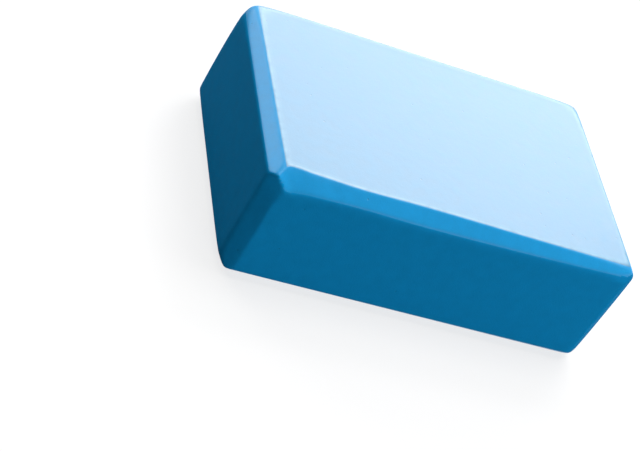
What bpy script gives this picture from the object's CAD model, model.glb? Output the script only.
# Foam exercise block: a slab of closed-cell EVA foam with bevelled edges, on a pale studio floor.
# It is laid out as an add-on and runs as a script. Lengths are in metres where a property holds them and for
# the studio, and in millimetres where a function shapes the block.
import math
from collections import namedtuple

import bpy
import numpy as np
from bpy.props import FloatProperty, FloatVectorProperty, PointerProperty, StringProperty
from bpy.types import Operator, Panel, PropertyGroup
from mathutils import Matrix, Vector


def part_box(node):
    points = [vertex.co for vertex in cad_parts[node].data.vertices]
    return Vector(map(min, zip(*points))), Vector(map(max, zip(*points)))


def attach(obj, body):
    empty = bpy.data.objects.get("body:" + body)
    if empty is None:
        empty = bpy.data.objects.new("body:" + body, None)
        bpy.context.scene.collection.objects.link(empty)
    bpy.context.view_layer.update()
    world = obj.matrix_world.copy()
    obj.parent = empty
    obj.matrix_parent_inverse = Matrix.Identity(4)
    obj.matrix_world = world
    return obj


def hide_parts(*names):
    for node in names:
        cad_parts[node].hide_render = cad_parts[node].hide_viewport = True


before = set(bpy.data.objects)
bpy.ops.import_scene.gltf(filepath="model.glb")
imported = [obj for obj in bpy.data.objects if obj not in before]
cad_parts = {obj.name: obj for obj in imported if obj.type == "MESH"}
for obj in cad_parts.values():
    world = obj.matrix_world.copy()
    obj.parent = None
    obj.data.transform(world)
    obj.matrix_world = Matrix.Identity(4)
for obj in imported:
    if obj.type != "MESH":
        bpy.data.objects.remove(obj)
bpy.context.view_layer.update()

bl_info = {
    "name": "Foam Block",
    "version": (1, 0, 0),
    "blender": (4, 5, 0),
    "location": "3D View > Sidebar > Foam Block",
    "description": "Builds a bevelled block of closed-cell foam and a pale studio round it",
    "category": "Object",
}

MM = 0.001
X, Y, Z = range(3)
LOW, HIGH = -1, 1
WHITE = "#FFFFFF"


# ---------------------------------------------------------------------------------------- sizes and colours

# Where the reach of a hand-guided cut is given, in mm: from the left end along the front top bevel, and from
# the foot up the front left upright one. Both cuts swing most near the corner where they meet.
FRONT_STATIONS = (0, 8, 25, 50, 90, 149, 228.6)
UPRIGHT_STATIONS = (0, 38, 61, 67, 73, 76.2)


class FoamBlockShape(PropertyGroup):
    bevel: FloatProperty(
        name="Bevel", description="Reach of an even bevel across each face that it joins",
        default=7 * MM, min=3 * MM, max=12 * MM, unit="LENGTH")
    left_reach: FloatVectorProperty(
        name="Left bevel reach",
        description="Reach of the left top bevel across the top, at its front and back end",
        default=(8.4 * MM, 6.6 * MM), size=2, min=3 * MM, max=12 * MM, unit="LENGTH")
    left_drop: FloatProperty(
        name="Left bevel drop", description="Reach of the left top bevel down the left end",
        default=6.3 * MM, min=3 * MM, max=12 * MM, unit="LENGTH")
    front_reach: FloatVectorProperty(
        name="Front bevel reach",
        description="Reach of the front top bevel across the top, at each of its stations",
        default=[reach * MM for reach in (4.8, 10.1, 9.7, 8.1, 8.3, 7.2, 5.8)],
        size=len(FRONT_STATIONS), min=3 * MM, max=14 * MM, unit="LENGTH")
    front_drop: FloatVectorProperty(
        name="Front bevel drop",
        description="Reach of the front top bevel down the front, at each of its stations",
        default=[reach * MM for reach in (3.6, 9.0, 8.6, 7.9, 8.5, 7.6, 4.7)],
        size=len(FRONT_STATIONS), min=3 * MM, max=14 * MM, unit="LENGTH")
    upright_front: FloatVectorProperty(
        name="Upright bevel on the front",
        description="Reach of the front left upright bevel across the front, at each of its stations",
        default=[reach * MM for reach in (8.2, 8.3, 8.7, 10.2, 8.9, 8.4)], size=len(UPRIGHT_STATIONS),
        min=3 * MM, max=14 * MM, unit="LENGTH")
    upright_end: FloatVectorProperty(
        name="Upright bevel on the end",
        description="Reach of the front left upright bevel across the left end, at each of its stations",
        default=[reach * MM for reach in (7.2, 8.4, 8.4, 8.2, 7.9, 7.8)], size=len(UPRIGHT_STATIONS),
        min=3 * MM, max=14 * MM, unit="LENGTH")
    back_reach: FloatVectorProperty(
        name="Back bevel reach",
        description="Reach of the back top bevel across the top, at its left and right end",
        default=(5.5 * MM, 6.8 * MM), size=2, min=3 * MM, max=12 * MM, unit="LENGTH")
    right_reach: FloatProperty(
        name="Right bevel reach", description="Reach of the right top bevel across the top",
        default=6.2 * MM, min=3 * MM, max=12 * MM, unit="LENGTH")
    right_drop: FloatVectorProperty(
        name="Right bevel drop",
        description="Reach of the right top bevel down the right end, at its front and back",
        default=(6.8 * MM, 6.4 * MM), size=2, min=3 * MM, max=12 * MM, unit="LENGTH")
    back_upright: FloatVectorProperty(
        name="Back left upright bevel",
        description="Reach of the back left upright bevel across the left end, at its foot and its top",
        default=(5 * MM, 7.8 * MM), size=2, min=3 * MM, max=12 * MM, unit="LENGTH")
    right_upright: FloatProperty(
        name="Front right upright bevel",
        description="Reach of the front right upright bevel across the right end",
        default=5.8 * MM, min=3 * MM, max=12 * MM, unit="LENGTH")
    back_right_upright: FloatProperty(
        name="Back right upright bevel",
        description="Reach of the back right upright bevel across both faces",
        default=9 * MM, min=3 * MM, max=12 * MM, unit="LENGTH")
    underside: FloatVectorProperty(
        name="Underside bevel",
        description="Reach of the bevel under the front up the front, at its left and right end",
        default=(6.3 * MM, 7 * MM), size=2, min=3 * MM, max=12 * MM, unit="LENGTH")
    mitre: FloatProperty(
        name="Mitre softness",
        description="How softly the left and front bevels of the top run into each other",
        default=0.8 * MM, min=0.2 * MM, max=3 * MM, unit="LENGTH")
    arris_radius: FloatProperty(
        name="Arris radius", description="Radius that rounds the arrises and the ridges between bevels",
        default=2.4 * MM, min=0.4 * MM, max=4 * MM, unit="LENGTH")
    corner_wear: FloatVectorProperty(
        name="Corner wear",
        description="How many times softer than the arrises the corners are: the one at the front left of "
        "the top, the two at the back of the top, and the others",
        default=(0.7, 4.2, 2.4), size=3, min=0.5, max=8)
    pitch: FloatProperty(
        name="Mesh pitch", description="Spacing of the mesh on the flats",
        default=5 * MM, min=2 * MM, max=20 * MM, unit="LENGTH")


class FoamBlockFinish(PropertyGroup):
    skin_colour: StringProperty(
        name="Skin colour", description="Colour of the slab's moulded skin, as an sRGB hex value",
        default="#0E79A6")
    cut_colour: StringProperty(
        name="Cut colour", description="Colour of the cut sides and upright bevels, as an sRGB hex value",
        default="#0E89C5")
    pressed_colour: StringProperty(
        name="Pressed colour",
        description="Colour of the sealed bevels round the large faces, as an sRGB hex value",
        default="#0E9DDE")
    whitened_colour: StringProperty(
        name="Whitened colour", description="Colour of foam that is stretched white, as an sRGB hex value",
        default="#A8D8E8")
    whitening: FloatProperty(
        name="Whitening", description="How far the arrises of the large faces take the whitened colour",
        default=0.26, min=0, max=1, subtype="FACTOR")
    skin_roughness: FloatProperty(
        name="Skin roughness", description="How far the moulded skin spreads its reflections",
        default=0.34, min=0, max=1, subtype="FACTOR")
    cut_roughness: FloatProperty(
        name="Cut roughness", description="How far the cut surface spreads its reflections",
        default=0.6, min=0, max=1, subtype="FACTOR")
    pressed_roughness: FloatProperty(
        name="Pressed roughness", description="How far the sealed bevels spread their reflections",
        default=0.33, min=0, max=1, subtype="FACTOR")
    cell: FloatProperty(
        name="Cell width", description="Width of one closed cell of the foam, as it is drawn",
        default=0.9 * MM, min=0.1 * MM, max=3 * MM, unit="LENGTH")
    cloud: FloatProperty(
        name="Cloud width", description="Width of the faint clouds where the foam is denser and darker",
        default=7 * MM, min=1 * MM, max=40 * MM, unit="LENGTH")
    pinhole: FloatProperty(
        name="Pinhole radius", description="Radius of the odd large bubble that lies open at the surface",
        default=0.5 * MM, min=0.1 * MM, max=2 * MM, unit="LENGTH")
    pinhole_spacing: FloatProperty(
        name="Pinhole spacing", description="Distance between large bubbles in the foam",
        default=10 * MM, min=2 * MM, max=50 * MM, unit="LENGTH")


class FoamBlockStudio(PropertyGroup):
    azimuth: FloatProperty(
        name="Azimuth", description="Turn of the camera round the block, from looking along +Y",
        default=math.radians(-28.73), subtype="ANGLE")
    elevation: FloatProperty(
        name="Elevation", description="Angle of the camera above the floor",
        default=math.radians(36.12), subtype="ANGLE")
    roll: FloatProperty(
        name="Roll", description="Lean of the camera about its line of sight",
        default=math.radians(32.93), subtype="ANGLE")
    aim: FloatVectorProperty(
        name="Aim", description="Point on the floor that the camera looks at",
        default=(-42.1 * MM, -14.1 * MM, 0), size=3, subtype="TRANSLATION")
    distance: FloatProperty(
        name="Distance", description="Distance of the camera from the point that it looks at",
        default=998.6 * MM, unit="LENGTH")
    lens: FloatProperty(
        name="Lens", description="Focal length of the camera's lens, in millimetres",
        default=98.05, unit="CAMERA")
    floor_colour: StringProperty(
        name="Floor colour", description="Colour of the pale floor, as an sRGB hex value", default="#808080")


# --------------------------------------------------------------------------------------- shape of the block

# A bevel lies along an edge that runs in the direction of axis. sides says which of the two faces across the
# edge it joins, LOW or HIGH on each of the other two axes in order. reach holds two functions that give how
# far it reaches from the edge along those two axes, from the distance along the edge, in mm. soft says how
# many times softer than the others its arris at the end of each reach is.
Bevel = namedtuple("Bevel", "axis sides reach soft")

# How many times softer than the others the two arrises of a bevel are. Those of the three bevels that meet
# at the front left of the top are worn unevenly.
EVEN = (1, 1)
LEFT_SOFTNESS = (1, 1.3)
FRONT_SOFTNESS = (1, 2.2)
UPRIGHT_SOFTNESS = (0.8, 1.5)


def other_axes(axis):
    """The two axes across an axis, in order."""
    return [m for m in (X, Y, Z) if m != axis]


def course(stations, reaches):
    """A smooth function through the reaches of a bevel at its stations along the edge, in mm."""
    stations, reaches = np.array(stations, float), np.array(reaches, float)
    slopes = np.gradient(reaches, stations)

    def reach(place):
        i = np.clip(np.searchsorted(stations, place) - 1, 0, len(stations) - 2)
        width = stations[i + 1] - stations[i]
        t = np.clip((place - stations[i]) / width, 0, 1)
        ease = t * t * (3 - 2 * t)
        lean = t * (1 - t) * width * ((1 - t) * slopes[i] - t * slopes[i + 1])
        return reaches[i] * (1 - ease) + reaches[i + 1] * ease + lean
    return reach


def block_bevels(size, shape):
    """The twelve bevels of a block of that size in mm. The two that run softly into each other are first."""
    def ends(axis, name):
        reaches = np.array(getattr(shape, name)) / MM
        return course((0, size[axis]), np.broadcast_to(reaches, 2))

    def stationed(axis, stations, name):
        scale = size[axis] / stations[-1]
        reaches = [reach / MM for reach in getattr(shape, name)]
        return course([scale * station for station in stations], reaches)

    special = {
        (Y, (LOW, HIGH)): (ends(Y, "left_reach"), ends(Y, "left_drop"), LEFT_SOFTNESS),
        (X, (LOW, HIGH)): (stationed(X, FRONT_STATIONS, "front_reach"),
                           stationed(X, FRONT_STATIONS, "front_drop"), FRONT_SOFTNESS),
        (Z, (LOW, LOW)): (stationed(Z, UPRIGHT_STATIONS, "upright_front"),
                          stationed(Z, UPRIGHT_STATIONS, "upright_end"), UPRIGHT_SOFTNESS),
        (X, (HIGH, HIGH)): (ends(X, "back_reach"), ends(X, "bevel"), EVEN),
        (Y, (HIGH, HIGH)): (ends(Y, "right_reach"), ends(Y, "right_drop"), EVEN),
        (Z, (LOW, HIGH)): (ends(Z, "bevel"), ends(Z, "back_upright"), EVEN),
        (Z, (HIGH, LOW)): (ends(Z, "bevel"), ends(Z, "right_upright"), EVEN),
        (Z, (HIGH, HIGH)): (ends(Z, "back_right_upright"), ends(Z, "back_right_upright"), EVEN),
        (X, (LOW, LOW)): (ends(X, "bevel"), ends(X, "underside"), EVEN),
    }
    places = [(axis, (a, b)) for axis in (X, Y, Z) for a in (LOW, HIGH) for b in (LOW, HIGH)]
    places.sort(key=lambda place: list(special).index(place) if place in special else len(special))
    even = [(ends(axis, "bevel"), ends(axis, "bevel"), EVEN) for axis in (X, Y, Z)]
    courses = [special.get(place, even[place[0]]) for place in places]
    return [Bevel(*place, each[:2], each[2]) for place, each in zip(places, courses)]


def soft_maximum(values, softness):
    """The largest of the values at each point, rounded where two or more are nearly as large."""
    largest = values.max(axis=0)
    return largest + softness * np.log(np.exp((values - largest) / softness).sum(axis=0))


def bevel_section(points, half, bevel):
    """How deep points lie below the two faces that a bevel joins, and how far it reaches across each."""
    depth = [half[m] - side * points[:, m] for m, side in zip(other_axes(bevel.axis), bevel.sides)]
    return depth, [reach(points[:, bevel.axis] + half[bevel.axis]) for reach in bevel.reach]


def local_softness(points, half, bevels, softness, wear):
    """How softly the shape turns near each point, in mm. Corners wear most: wear gives how many times softer
    than an arris each kind of them is. A few arrises are softer too. A corner's wear fades over a length in
    mm, and an arris's over a share of its bevel's reach."""
    first_corner_fade, corner_fade, arris_fade = 9, 18, 0.6
    corner = np.linalg.norm(half - np.abs(points), axis=1)
    front, back = ((np.sign(points[:, Y:]) == (side, HIGH)).all(axis=1) for side in (LOW, HIGH))
    first = front & (points[:, X] < 0)
    rounder = np.select([first, back], wear[:2], wear[2])
    fade = np.where(first, first_corner_fade, corner_fade)
    local = softness * (1 + (rounder - 1) * np.exp(-(corner / fade) ** 2))
    for bevel in bevels:
        if bevel.soft != EVEN:
            depth, reach = bevel_section(points, half, bevel)
            for m, soft in enumerate(bevel.soft):
                away = np.hypot(depth[m] - reach[m], depth[1 - m]) / (arris_fade * reach[m])
                local = local * (1 + (soft - 1) * np.exp(-away ** 2))
    return local


def past_surfaces(points, half, bevels):
    """How far points lie past each bevel, and then past each face, in mm."""
    past = []
    for bevel in bevels:
        depth, reach = bevel_section(points, half, bevel)
        past.append((1 - depth[0] / reach[0] - depth[1] / reach[1]) / np.hypot(1 / reach[0], 1 / reach[1]))
    return past + [side * points[:, m] - half[m] for m in (X, Y, Z) for side in (LOW, HIGH)]


def overshoot(points, half, bevels, mitre, softness, wear):
    """How far points stick out of the block, in mm, and less than nothing inside it. The largest distance
    past a face or a bevel counts. softness rounds the change from one to the next, and mitre the one between
    the first two bevels."""
    past = past_surfaces(points, half, bevels)
    past[:2] = [soft_maximum(np.array(past[:2]), mitre)]
    return soft_maximum(np.array(past), local_softness(points, half, bevels, softness, wear))


def whitening(points, half, bevels, softness, wear):
    """How far the foam is stretched white at each point, from 0 to 1: only along the arrises of the large
    faces, and most on the face's side of each, where its surface begins to turn."""
    narrowness = 4
    peak = narrowness / (narrowness + 1)
    local = local_softness(points, half, bevels, softness, wear)
    flatness = np.exp((np.abs(points[:, Z]) - half[Z]) / local)
    return (flatness / peak) ** narrowness * (1 - flatness) / (1 - peak)


def slope(points, *block):
    """The direction in which overshoot grows fastest, and how fast."""
    step = 1e-4
    columns = []
    for m in (X, Y, Z):
        nudge = np.zeros(3)
        nudge[m] = step
        columns.append((overshoot(points + nudge, *block) - overshoot(points - nudge, *block)) / (2 * step))
    return np.array(columns).T


def settle(points, half, *block):
    """Moves points on the block's box inwards onto its surface. Each goes towards the nearest place on an
    inner box that lies deeper than any bevel, so that no two paths cross."""
    depth, halvings = 16, 40
    centre = np.clip(points, depth - half, half - depth)
    inside, outside = np.zeros(len(points)), np.ones(len(points))
    for _ in range(halvings):
        middle = (inside + outside) / 2
        out = overshoot(centre + (points - centre) * middle[:, None], half, *block) > 0
        inside, outside = np.where(out, inside, middle), np.where(out, middle, outside)
    return centre + (points - centre) * middle[:, None]


# Rows of the mesh near an edge: each lies at a share of the bevel's reach plus a length in mm. They crowd
# round the arris, where the surface turns.
EDGE_ROWS = ((0, 0), (0.3, 0), (0.55, 0), (1, -1.2), (1, -0.7), (1, -0.35), (1, 0), (1, 0.35), (1, 0.7),
             (1, 1.2), (1, 2.2), (1, 4.5))
# Row of a large face where its skin begins, at the arris
SKIN_ROW = 6
# Names of the mesh attributes that tell the materials where the foam is whitened and where it is sealed
WHITENED, SEALED = "whitened", "sealed"
# Places of the three finishes among the block's materials
SKIN, CUT, PRESSED = range(3)
# A face of the mesh has the pressed finish where its cells are shut further than this
MOSTLY_SHUT = 0.6


def sealing(points, half, bevels):
    """How far the foam's cells are shut at each point, from 0 on the cut sides to 1 on the bevels round the
    large faces. It fades out just before the arrises below those bevels."""
    inset, blur = 0.7, 0.2
    past = np.array(past_surfaces(points, half, bevels))
    cut = np.array([bevel.axis == Z for bevel in bevels] + [True] * 4 + [False] * 2)
    return 1 / (1 + np.exp((past[cut].max(axis=0) - past[~cut].max(axis=0) + inset) / blur))


def local_reach(axis, side, points, half, bevels):
    """How far the bevels at one end of an axis reach along that axis, beside each point. Where two bevels
    meet the reach passes smoothly from one to the other."""
    fade = 5
    total, weight = 0, 0
    for bevel in bevels:
        axes = other_axes(bevel.axis)
        if axis not in axes or bevel.sides[axes.index(axis)] != side:
            continue
        across = axes[1 - axes.index(axis)]
        depth = half[across] - bevel.sides[axes.index(across)] * points[:, across]
        share = np.exp(-depth / fade)
        total = total + share * bevel.reach[axes.index(axis)](points[:, bevel.axis] + half[bevel.axis])
        weight = weight + share
    return total / weight


def row_places(axis, index, points, half, bevels, rows):
    """Where each point's own mesh row lies along an axis. The index says which row that is."""
    depths = [[share * local_reach(axis, side, points, half, bevels) + extra for share, extra in EDGE_ROWS]
              for side in (LOW, HIGH)]
    low = [-half[axis] + d for d in depths[0]]
    high = [half[axis] - d for d in reversed(depths[1])]
    middle = rows - 2 * len(EDGE_ROWS)
    between = [low[-1] + (high[0] - low[-1]) * (n + 1) / (middle + 1) for n in range(middle)]
    places = np.array(low + between + high)
    return places[index, np.arange(len(index))]


def lattice_key(axis, end, i, j):
    """Row numbers along X, Y and Z of a place at the end of an axis, from those along the other two."""
    key = [i, j]
    key.insert(axis, end)
    return tuple(key)


def lattice_numbers(rows):
    """A number for each place where rows cross on the six sides of the block's box, by its row numbers."""
    numbers = {}
    for axis in (X, Y, Z):
        first, second = other_axes(axis)
        for end in (0, rows[axis] - 1):
            for i in range(rows[first]):
                for j in range(rows[second]):
                    numbers.setdefault(lattice_key(axis, end, i, j), len(numbers))
    return numbers


def lattice_places(index, rows, half, bevels, margin):
    """Where the rows cross on the block's box. From even rows, each point moves to where its own rows lie:
    how far a bevel reaches depends on the place along it, so a few rounds are needed."""
    rounds = 6
    last = len(EDGE_ROWS) - 1
    even = [np.interp(index[:, m], [0, last, rows[m] - 1 - last, rows[m] - 1],
                      [-half[m], margin - half[m], half[m] - margin, half[m]]) for m in (X, Y, Z)]
    placed = np.array(even).T
    for _ in range(rounds):
        placed = np.array([row_places(m, index[:, m], placed, half, bevels, rows[m]) for m in (X, Y, Z)]).T
    return placed


def lattice_faces(rows, numbers):
    """The four-sided faces between the rows, and whether each lies on the flat of one of the large faces."""
    faces, flat = [], []
    for axis in (X, Y, Z):
        first, second = other_axes(axis)
        for end in (0, rows[axis] - 1):
            outward = (end > 0) == (axis != Y)
            for i in range(rows[first] - 1):
                for j in range(rows[second] - 1):
                    face = [numbers[lattice_key(axis, end, i + di, j + dj)]
                            for di, dj in ((0, 0), (1, 0), (1, 1), (0, 1))]
                    faces.append(face if outward else face[::-1])
                    depth = min(i, rows[first] - 2 - i, j, rows[second] - 2 - j)
                    flat.append(axis == Z and depth >= SKIN_ROW)
    return faces, flat


def block_mesh(name, size, shape):
    """A closed mesh of four-sided faces over the block, in metres, with its underside at height nothing."""
    half = np.array(size) / 2
    bevels = block_bevels(size, shape)
    # An arris of 45 degrees rounded with this softness turns as tightly as one with the radius asked for
    half_turn = math.radians(45) / 2
    softness = shape.arris_radius / MM * math.sin(half_turn) ** 2 / math.cos(half_turn)
    margin = shape.bevel / MM + EDGE_ROWS[-1][1]
    rows = [2 * len(EDGE_ROWS) + round((side - 2 * margin) / (shape.pitch / MM)) - 1 for side in size]
    numbers = lattice_numbers(rows)
    faces, flat = lattice_faces(rows, numbers)

    block = (half, bevels, shape.mitre / MM, softness, shape.corner_wear)
    points = settle(lattice_places(np.array(list(numbers)), rows, half, bevels, margin), *block)
    normals = slope(points, *block)
    whitened = whitening(points, half, bevels, softness, shape.corner_wear)
    sealed = sealing(points, half, bevels)
    shut = sealed[np.array(faces)].mean(axis=1) > MOSTLY_SHUT
    finishes = np.where(flat, SKIN, np.where(shut, PRESSED, CUT))

    points[:, Z] += half[Z]
    mesh = bpy.data.meshes.new(name)
    mesh.from_pydata(points * MM, [], faces)
    for attribute, values in ((WHITENED, whitened), (SEALED, sealed)):
        mesh.attributes.new(attribute, "FLOAT", "POINT").data.foreach_set("value", values)
    mesh.shade_smooth()
    mesh.polygons.foreach_set("material_index", finishes)
    mesh.normals_split_custom_set_from_vertices(normals / np.linalg.norm(normals, axis=1)[:, None])
    return mesh


# ------------------------------------------------------------------------------------------------ materials


def linear(hex_colour):
    """An sRGB hex value such as #0E89C5 as linear red, green, blue and alpha."""
    parts = [int(hex_colour[i:i + 2], 16) / 255 for i in (1, 3, 5)]
    return [c / 12.92 if c <= 0.04045 else ((c + 0.055) / 1.055) ** 2.4 for c in parts] + [1]


def add_node(tree, kind, values=None, links=None, **settings):
    """Adds a node to a tree, with its settings, its sockets' values and links from other nodes' outputs."""
    node = tree.nodes.new(kind)
    for name, value in settings.items():
        setattr(node, name, value)
    for name, value in (values or {}).items():
        node.inputs[name].default_value = value
    for name, output in (links or {}).items():
        tree.links.new(output, node.inputs[name])
    return node


def eva_foam(name, finish, colours, roughness, specular, cell_relief):
    """Closed-cell EVA foam, coloured right through. The blowing agent leaves it full of cells 0.1 to 0.3 mm
    wide, too fine to show here, so they are drawn about four times as wide. It is faintly cloudy where it is
    denser, and the odd larger bubble lies open as a pinhole. A little light passes through its thin cell
    walls. The first of its colours is that of open cells, and the second that of cells that are shut."""
    material = bpy.data.materials.new(name)
    material.use_nodes = True
    tree = material.node_tree
    tree.nodes.clear()
    place = add_node(tree, "ShaderNodeTexCoord").outputs["Object"]
    cells = add_node(tree, "ShaderNodeTexVoronoi", {"Scale": 1 / finish.cell},
                     {"Vector": place}).outputs["Distance"]
    clouds = add_node(tree, "ShaderNodeTexNoise", {"Scale": 1 / finish.cloud, "Detail": 3.0},
                      {"Vector": place}).outputs["Fac"]
    bubbles = add_node(tree, "ShaderNodeTexVoronoi", {"Scale": 1 / finish.pinhole_spacing},
                       {"Vector": place}).outputs["Distance"]
    rim = finish.pinhole / finish.pinhole_spacing
    pinholes = add_node(tree, "ShaderNodeMapRange",
                        {"From Min": 0.6 * rim, "From Max": 1.2 * rim, "To Min": 1, "To Max": 0},
                        {"Value": bubbles}).outputs["Result"]

    # Shares of the colour that each pattern takes or gives over its whole range. Clouds use about half of
    # theirs, so they lighten and darken it by 4%, and cell walls are about 3% darker.
    cloud_shade, wall_shade, pinhole_shade = 0.16, 0.06, 0.2
    cloudy = add_node(tree, "ShaderNodeMath", {1: cloud_shade, 2: 1 - cloud_shade / 2}, {0: clouds},
                      operation="MULTIPLY_ADD").outputs[0]
    celled = add_node(tree, "ShaderNodeMath", {1: -wall_shade}, {0: cells, 2: cloudy},
                      operation="MULTIPLY_ADD").outputs[0]
    holed = add_node(tree, "ShaderNodeMath", {1: -pinhole_shade}, {0: pinholes, 2: celled},
                     operation="MULTIPLY_ADD").outputs[0]
    sealed = add_node(tree, "ShaderNodeAttribute", attribute_name=SEALED).outputs["Fac"]
    plain = add_node(tree, "ShaderNodeMixRGB", {"Color1": linear(colours[0]), "Color2": linear(colours[1])},
                     {"Fac": sealed}).outputs[0]
    tint = add_node(tree, "ShaderNodeVectorMath", links={0: plain, "Scale": holed},
                    operation="SCALE").outputs[0]
    # The stretched arrises are whitened unevenly, and on average by the whitening asked for
    worn = add_node(tree, "ShaderNodeAttribute", attribute_name=WHITENED).outputs["Fac"]
    uneven = add_node(tree, "ShaderNodeMath", {1: 2 * finish.whitening}, {0: clouds},
                      operation="MULTIPLY").outputs[0]
    share = add_node(tree, "ShaderNodeMath", links={0: worn, 1: uneven}, operation="MULTIPLY").outputs[0]
    paled = add_node(tree, "ShaderNodeMixRGB", {"Color2": linear(finish.whitened_colour)},
                     {"Fac": share, "Color1": tint}).outputs[0]
    roughness_swing = 0.1
    spread = add_node(tree, "ShaderNodeMath", {1: roughness_swing, 2: roughness - roughness_swing / 2},
                      {0: clouds}, operation="MULTIPLY_ADD").outputs[0]

    cloud_relief, pinhole_relief = 0.06 * MM, 0.1 * MM
    waves = add_node(tree, "ShaderNodeBump", {"Strength": 1, "Distance": cloud_relief},
                     {"Height": clouds}).outputs["Normal"]
    domes = add_node(tree, "ShaderNodeBump", {"Strength": 1, "Distance": cell_relief},
                     {"Height": cells, "Normal": waves}, invert=True).outputs["Normal"]
    dents = add_node(tree, "ShaderNodeBump", {"Strength": 1, "Distance": pinhole_relief},
                     {"Height": pinholes, "Normal": domes}, invert=True).outputs["Normal"]
    shader = add_node(tree, "ShaderNodeBsdfPrincipled", {
        "IOR": 1.49, "Specular IOR Level": specular, "Subsurface Weight": 0.1,
        "Subsurface Radius": (0.3, 0.8, 1.0), "Subsurface Scale": 2 * MM},
        {"Base Color": paled, "Roughness": spread, "Normal": dents})
    add_node(tree, "ShaderNodeOutputMaterial", links={"Surface": shader.outputs["BSDF"]})
    return material


def eva_foam_skin(finish):
    """The satin skin that the hot mould pressed on the slab's two large faces: its cells are sealed, so it
    is smooth and mirrors a bright room as a pale veil."""
    return eva_foam("eva_foam_skin", finish, (finish.skin_colour, finish.skin_colour),
                    finish.skin_roughness, specular=1.0, cell_relief=0.015 * MM)


def eva_foam_cut(finish):
    """The sides and upright bevels, cut through the cells with a blade: the open cells swallow most of the
    gloss, which leaves a deep, matte colour."""
    return eva_foam("eva_foam_cut", finish, (finish.cut_colour, finish.pressed_colour),
                    finish.cut_roughness, specular=0.01, cell_relief=0.04 * MM)


def eva_foam_pressed(finish):
    """The bevels round the two large faces, cut with a hot blade that shut the cells again: a faint satin,
    which turns milky where it mirrors a lamp."""
    return eva_foam("eva_foam_pressed", finish, (finish.cut_colour, finish.pressed_colour),
                    finish.pressed_roughness, specular=0.3, cell_relief=0.02 * MM)


# --------------------------------------------------------------------------------------------------- pieces


class FOAMBLOCK_OT_block(Operator):
    """Build the bevelled foam block"""
    bl_idname = "foamblock.block"
    bl_label = "Foam Block"

    def execute(self, context):
        low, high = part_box("foam_block")
        size = [(b - a) / MM for a, b in zip(low, high)]
        mesh = block_mesh("foam_block_skin", size, context.scene.foam_block_shape)
        block = bpy.data.objects.new("foam_block_skin", mesh)
        context.scene.collection.objects.link(block)
        finish = context.scene.foam_block_finish
        for material in (eva_foam_skin(finish), eva_foam_cut(finish), eva_foam_pressed(finish)):
            mesh.materials.append(material)
        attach(block, "root")
        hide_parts("foam_block")
        return {"FINISHED"}


# A lamp stands at a distance from the block, in the direction that azimuth gives in degrees from +Y towards
# +X and elevation in degrees above the floor. Its radiance is in units of a white surface in full light.
Softbox = namedtuple("Softbox", "name azimuth elevation distance width height radiance")

SOFTBOXES = (
    Softbox("back_softbox", 20, 30, 1.6, 1.5, 0.7, 4.8),
    Softbox("high_softbox", 34, 56, 1.6, 0.45, 0.3, 9.6),
    Softbox("top_softbox", 15, 74, 1.6, 2.0, 1.6, 1.7),
    Softbox("right_softbox", 85, 72, 1.6, 0.8, 0.8, 3.9),
    Softbox("front_softbox", 168, 12, 1.6, 0.8, 0.6, 6.6),
    Softbox("corner_softbox", 122, 12, 0.6, 0.3, 0.3, 1.0),
    Softbox("left_softbox", -37, 28, 1.6, 0.66, 0.6, 4.8),
)


def add_softbox(context, box):
    """A rectangular lamp that faces the block. The camera doesn't see it."""
    turn, rise = math.radians(box.azimuth), math.radians(box.elevation)
    towards = Vector((math.sin(turn) * math.cos(rise), math.cos(turn) * math.cos(rise), math.sin(rise)))
    lamp = bpy.data.lights.new(box.name, "AREA")
    lamp.shape = "RECTANGLE"
    lamp.size, lamp.size_y = box.width, box.height
    # A square metre of lamp sends out pi times its radiance
    lamp.energy = box.radiance * math.pi * box.width * box.height
    holder = bpy.data.objects.new(box.name, lamp)
    holder.location = towards * box.distance
    holder.rotation_euler = towards.to_track_quat("Z", "Y").to_euler()
    holder.visible_camera = False
    context.scene.collection.objects.link(holder)


def seen_rays(tree):
    """1 for a ray that shows the surroundings, straight or in a reflection or through glass, and 0 for one
    that only gathers light."""
    rays = add_node(tree, "ShaderNodeLightPath").outputs
    mirrored = add_node(tree, "ShaderNodeMath", links={0: rays["Is Camera Ray"], 1: rays["Is Glossy Ray"]},
                        operation="ADD", use_clamp=True)
    return add_node(tree, "ShaderNodeMath", links={0: mirrored.outputs[0], 1: rays["Is Transmission Ray"]},
                    operation="ADD", use_clamp=True).outputs[0]


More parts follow.
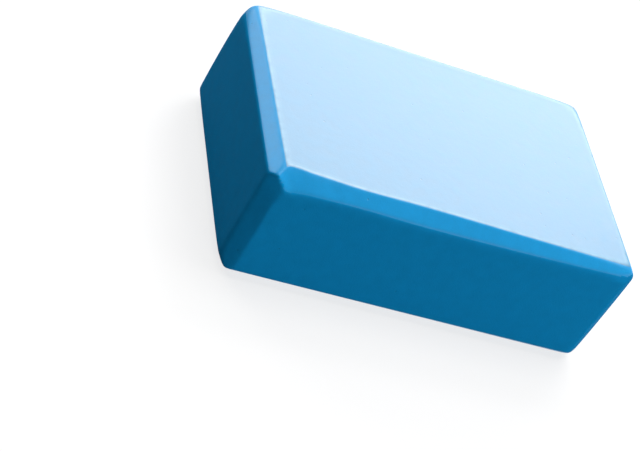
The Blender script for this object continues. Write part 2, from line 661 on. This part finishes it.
class FOAMBLOCK_OT_stage(Operator):
    """Build the floor, the lamps and the camera"""
    bl_idname = "foamblock.stage"
    bl_label = "Studio"

    def execute(self, context):
        scene, studio = context.scene, context.scene.foam_block_studio
        self.add_floor(scene, studio)
        for box in SOFTBOXES:
            add_softbox(context, box)
        self.light_world(scene)
        self.add_camera(scene, studio)
        scene.view_settings.view_transform = "Standard"
        return {"FINISHED"}

    def add_floor(self, scene, studio):
        reach = 8
        mesh = bpy.data.meshes.new("floor")
        mesh.from_pydata([(-reach, -reach, 0), (reach, -reach, 0), (reach, reach, 0), (-reach, reach, 0)],
                         [], [(0, 1, 2, 3)])
        floor = bpy.data.objects.new("floor", mesh)
        scene.collection.objects.link(floor)
        material = bpy.data.materials.new("painted_board")
        material.use_nodes = True
        tree = material.node_tree
        tree.nodes.clear()
        # Seen, the floor is a white that glows, so that only the block's shadow shows on it. The light that
        # it throws back at the block is that of the pale paint.
        glow_share = 0.76
        seen = seen_rays(tree)
        colour = add_node(tree, "ShaderNodeMixRGB",
                          {"Color1": linear(studio.floor_colour), "Color2": linear(WHITE)}, {"Fac": seen})
        paint = add_node(tree, "ShaderNodeBsdfDiffuse", links={"Color": colour.outputs["Color"]})
        glow = add_node(tree, "ShaderNodeEmission", {"Strength": 1.0})
        share = add_node(tree, "ShaderNodeMath", {1: glow_share}, {0: seen}, operation="MULTIPLY")
        mixed = add_node(tree, "ShaderNodeMixShader", links={
            0: share.outputs[0], 1: paint.outputs["BSDF"], 2: glow.outputs["Emission"]})
        add_node(tree, "ShaderNodeOutputMaterial", links={"Surface": mixed.outputs["Shader"]})
        mesh.materials.append(material)

    def light_world(self, scene):
        world = bpy.data.worlds.new("studio_air")
        world.use_nodes = True
        tree = world.node_tree
        tree.nodes.clear()
        # Seen, the air is white. It adds only a little light of its own to the lamps'.
        fill_strength = 0.04
        fill = add_node(tree, "ShaderNodeBackground", {"Color": linear(WHITE), "Strength": fill_strength})
        white = add_node(tree, "ShaderNodeBackground", {"Color": linear(WHITE), "Strength": 1.0})
        mixed = add_node(tree, "ShaderNodeMixShader", links={
            0: seen_rays(tree), 1: fill.outputs[0], 2: white.outputs[0]})
        add_node(tree, "ShaderNodeOutputWorld", links={"Surface": mixed.outputs["Shader"]})
        scene.world = world

    def add_camera(self, scene, studio):
        turn, rise = studio.azimuth, studio.elevation
        back = Vector((math.sin(turn) * math.cos(rise), -math.cos(turn) * math.cos(rise), math.sin(rise)))
        data = bpy.data.cameras.new("camera")
        data.lens = studio.lens
        camera = bpy.data.objects.new("camera", data)
        upright = (-back).to_track_quat("-Z", "Y").to_matrix()
        camera.matrix_world = (Matrix.Translation(Vector(studio.aim) + back * studio.distance)
                               @ (upright @ Matrix.Rotation(studio.roll, 3, "Z")).to_4x4())
        scene.collection.objects.link(camera)
        scene.camera = camera


class FOAMBLOCK_PT_panel(Panel):
    """Lists what the add-on builds"""
    bl_idname = "FOAMBLOCK_PT_panel"
    bl_label = "Foam Block"
    bl_space_type = "VIEW_3D"
    bl_region_type = "UI"
    bl_category = "Foam Block"

    def draw(self, context):
        for operator in OPERATORS:
            self.layout.operator(operator.bl_idname)


OPERATORS = (FOAMBLOCK_OT_block, FOAMBLOCK_OT_stage)
GROUPS = {"foam_block_shape": FoamBlockShape, "foam_block_finish": FoamBlockFinish,
          "foam_block_studio": FoamBlockStudio}
CLASSES = (*GROUPS.values(), *OPERATORS, FOAMBLOCK_PT_panel)


def register():
    for each in CLASSES:
        bpy.utils.register_class(each)
    for name, group in GROUPS.items():
        setattr(bpy.types.Scene, name, PointerProperty(type=group))


def unregister():
    for name in GROUPS:
        delattr(bpy.types.Scene, name)
    for each in reversed(CLASSES):
        bpy.utils.unregister_class(each)


def main():
    register()
    bpy.ops.foamblock.block()
    bpy.ops.foamblock.stage()


if __name__ == "__main__":
    main()
